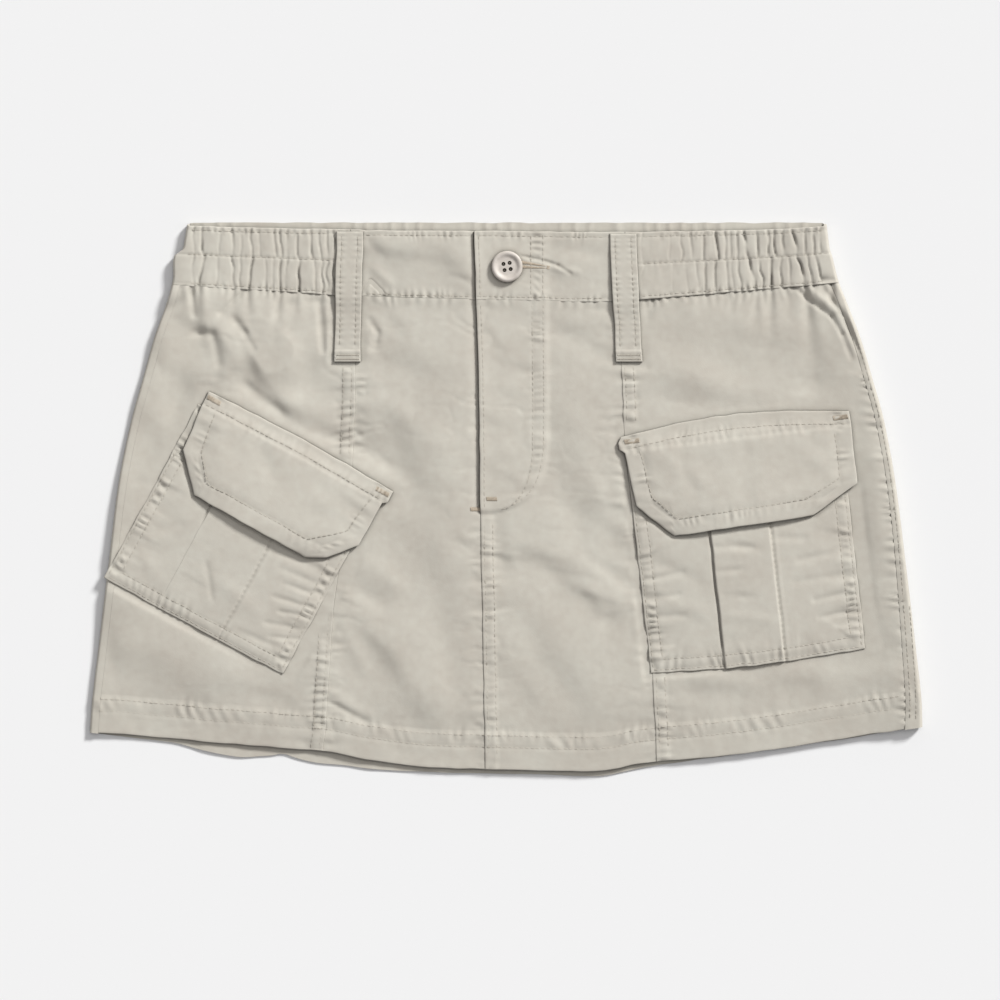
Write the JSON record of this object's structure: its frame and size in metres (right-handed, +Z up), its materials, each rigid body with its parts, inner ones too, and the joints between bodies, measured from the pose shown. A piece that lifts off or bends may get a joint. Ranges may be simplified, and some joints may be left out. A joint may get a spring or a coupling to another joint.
{
  "type": "cargo utility skirt",
  "caption": "Short cargo utility skirt laid flat with its front up, with elastic sides, button fly, belt loops and flap pockets.",
  "frame": {"origin": "middle of the laid skirt's outline, on the flat underside of its back panel", "axes": "+X to the right across the front as seen from above, +Y from hem to waistband, +Z up out of the front"},
  "size_m": [0.4703, 0.3129, 0.0112],
  "materials": {
    "twill": "matte cotton twill, garment washed",
    "button": "satin resin"
  },
  "bodies": {
    "root": {"back_panel": "twill", "front_side_left": "twill", "front_centre_left": "twill", "front_centre_right": "twill", "front_side_right": "twill", "waistband_elastic": "twill", "waistband_front_left": "twill", "waistband_front_right": "twill", "belt_loop_left": "twill", "belt_loop_right": "twill", "pocket_left_bag": "twill", "pocket_right_bag": "twill", "pocket_left_flap": "twill", "pocket_right_flap": "twill", "button": "button"}
  },
  "joints": []
}
